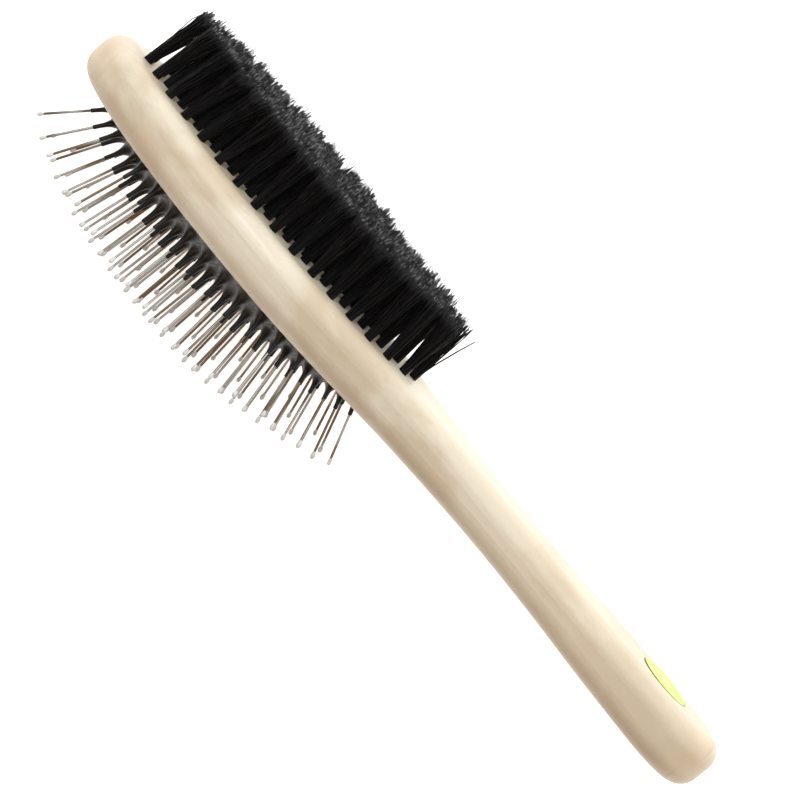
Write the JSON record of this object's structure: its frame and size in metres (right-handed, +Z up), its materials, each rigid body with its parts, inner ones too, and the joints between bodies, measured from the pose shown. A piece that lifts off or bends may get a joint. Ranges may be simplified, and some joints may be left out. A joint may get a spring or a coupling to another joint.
{
  "type": "double-sided grooming brush",
  "caption": "Pet grooming brush with a waisted wooden handle, resin-tipped wire pins in a domed rubber air cushion on one face and trimmed bristle tufts on the other.",
  "frame": {"origin": "under the middle of the brush's box, on the surface that the side of the head touches with the brush lying on its side", "axes": "+X from the head to the butt of the handle, +Y out of the bristle side, -Y out of the pin side, +Z up across the brush"},
  "size_m": [0.2362, 0.0608, 0.058],
  "materials": {
    "beech": "satin, lightly sealed",
    "lime_badge": "gloss",
    "anchor_wire": "plain drawn",
    "black_rubber": "soft matte",
    "lining_cloth": "plain weave",
    "dark_bristle": "soft sheen",
    "pin_steel": "bright drawn",
    "tip_resin": "gloss"
  },
  "bodies": {
    "brush_body": {"wooden_body": "beech", "badge": "lime_badge", "tufts_outer_ring": "dark_bristle", "tufts_second_ring": "dark_bristle", "tufts_third_ring": "dark_bristle", "tufts_inner_ring": "dark_bristle", "tufts_centre_line": "dark_bristle", "tuft_anchors": "anchor_wire", "rubber_cushion": "black_rubber"},
    "cushion": {"cushion_lining": "lining_cloth"},
    "pin_row_01": {"pins_row_01": "pin_steel", "tips_row_01": "tip_resin"},
    "pin_row_02": {"pins_row_02": "pin_steel", "tips_row_02": "tip_resin"},
    "pin_row_03": {"pins_row_03": "pin_steel", "tips_row_03": "tip_resin"},
    "pin_row_04": {"pins_row_04": "pin_steel", "tips_row_04": "tip_resin"},
    "pin_row_05": {"pins_row_05": "pin_steel", "tips_row_05": "tip_resin"},
    "pin_row_06": {"pins_row_06": "pin_steel", "tips_row_06": "tip_resin"},
    "pin_row_07": {"pins_row_07": "pin_steel", "tips_row_07": "tip_resin"},
    "pin_row_08": {"pins_row_08": "pin_steel", "tips_row_08": "tip_resin"},
    "pin_row_09": {"pins_row_09": "pin_steel", "tips_row_09": "tip_resin"},
    "pin_row_10": {"pins_row_10": "pin_steel", "tips_row_10": "tip_resin"},
    "pin_row_11": {"pins_row_11": "pin_steel", "tips_row_11": "tip_resin"},
    "pin_row_12": {"pins_row_12": "pin_steel", "tips_row_12": "tip_resin"},
    "pin_row_13": {"pins_row_13": "pin_steel", "tips_row_13": "tip_resin"},
    "pin_row_14": {"pins_row_14": "pin_steel", "tips_row_14": "tip_resin"},
    "pin_row_15": {"pins_row_15": "pin_steel", "tips_row_15": "tip_resin"}
  },
  "joints": [
    {"name": "cushion_press", "type": "slide", "parent": "brush_body", "child": "cushion", "axis": [0, 1, 0], "range_m": [0, 0.0025], "stiffness_N_per_m": 3000, "deforming": ["rubber_cushion", "cushion_lining"]},
    {"name": "pin_row_01_rock", "type": "hinge", "parent": "cushion", "child": "pin_row_01", "pos_m": [-0.10132, -0.00276, 0.029], "axis": [0, 0, 1], "range_deg": [-12, 12], "stiffness_Nm_per_rad": 0.05},
    {"name": "pin_row_02_rock", "type": "hinge", "parent": "cushion", "child": "pin_row_02", "pos_m": [-0.09462, -0.00403, 0.029], "axis": [0, 0, 1], "range_deg": [-12, 12], "stiffness_Nm_per_rad": 0.05},
    {"name": "pin_row_03_rock", "type": "hinge", "parent": "cushion", "child": "pin_row_03", "pos_m": [-0.08792, -0.00485, 0.029], "axis": [0, 0, 1], "range_deg": [-12, 12], "stiffness_Nm_per_rad": 0.05},
    {"name": "pin_row_04_rock", "type": "hinge", "parent": "cushion", "child": "pin_row_04", "pos_m": [-0.08122, -0.00608, 0.029], "axis": [0, 0, 1], "range_deg": [-12, 12], "stiffness_Nm_per_rad": 0.05},
    {"name": "pin_row_05_rock", "type": "hinge", "parent": "cushion", "child": "pin_row_05", "pos_m": [-0.07452, -0.00687, 0.029], "axis": [0, 0, 1], "range_deg": [-12, 12], "stiffness_Nm_per_rad": 0.05},
    {"name": "pin_row_06_rock", "type": "hinge", "parent": "cushion", "child": "pin_row_06", "pos_m": [-0.06782, -0.00733, 0.029], "axis": [0, 0, 1], "range_deg": [-12, 12], "stiffness_Nm_per_rad": 0.05},
    {"name": "pin_row_07_rock", "type": "hinge", "parent": "cushion", "child": "pin_row_07", "pos_m": [-0.06112, -0.00754, 0.029], "axis": [0, 0, 1], "range_deg": [-12, 12], "stiffness_Nm_per_rad": 0.05},
    {"name": "pin_row_08_rock", "type": "hinge", "parent": "cushion", "child": "pin_row_08", "pos_m": [-0.0561, -0.00819, 0.029], "axis": [0, 0, 1], "range_deg": [-12, 12], "stiffness_Nm_per_rad": 0.05},
    {"name": "pin_row_09_rock", "type": "hinge", "parent": "cushion", "child": "pin_row_09", "pos_m": [-0.05107, -0.00754, 0.029], "axis": [0, 0, 1], "range_deg": [-12, 12], "stiffness_Nm_per_rad": 0.05},
    {"name": "pin_row_10_rock", "type": "hinge", "parent": "cushion", "child": "pin_row_10", "pos_m": [-0.04437, -0.00733, 0.029], "axis": [0, 0, 1], "range_deg": [-12, 12], "stiffness_Nm_per_rad": 0.05},
    {"name": "pin_row_11_rock", "type": "hinge", "parent": "cushion", "child": "pin_row_11", "pos_m": [-0.03767, -0.00687, 0.029], "axis": [0, 0, 1], "range_deg": [-12, 12], "stiffness_Nm_per_rad": 0.05},
    {"name": "pin_row_12_rock", "type": "hinge", "parent": "cushion", "child": "pin_row_12", "pos_m": [-0.03097, -0.00608, 0.029], "axis": [0, 0, 1], "range_deg": [-12, 12], "stiffness_Nm_per_rad": 0.05},
    {"name": "pin_row_13_rock", "type": "hinge", "parent": "cushion", "child": "pin_row_13", "pos_m": [-0.02427, -0.00485, 0.029], "axis": [0, 0, 1], "range_deg": [-12, 12], "stiffness_Nm_per_rad": 0.05},
    {"name": "pin_row_14_rock", "type": "hinge", "parent": "cushion", "child": "pin_row_14", "pos_m": [-0.01757, -0.00403, 0.029], "axis": [0, 0, 1], "range_deg": [-12, 12], "stiffness_Nm_per_rad": 0.05},
    {"name": "pin_row_15_rock", "type": "hinge", "parent": "cushion", "child": "pin_row_15", "pos_m": [-0.01087, -0.00276, 0.029], "axis": [0, 0, 1], "range_deg": [-12, 12], "stiffness_Nm_per_rad": 0.05}
  ]
}
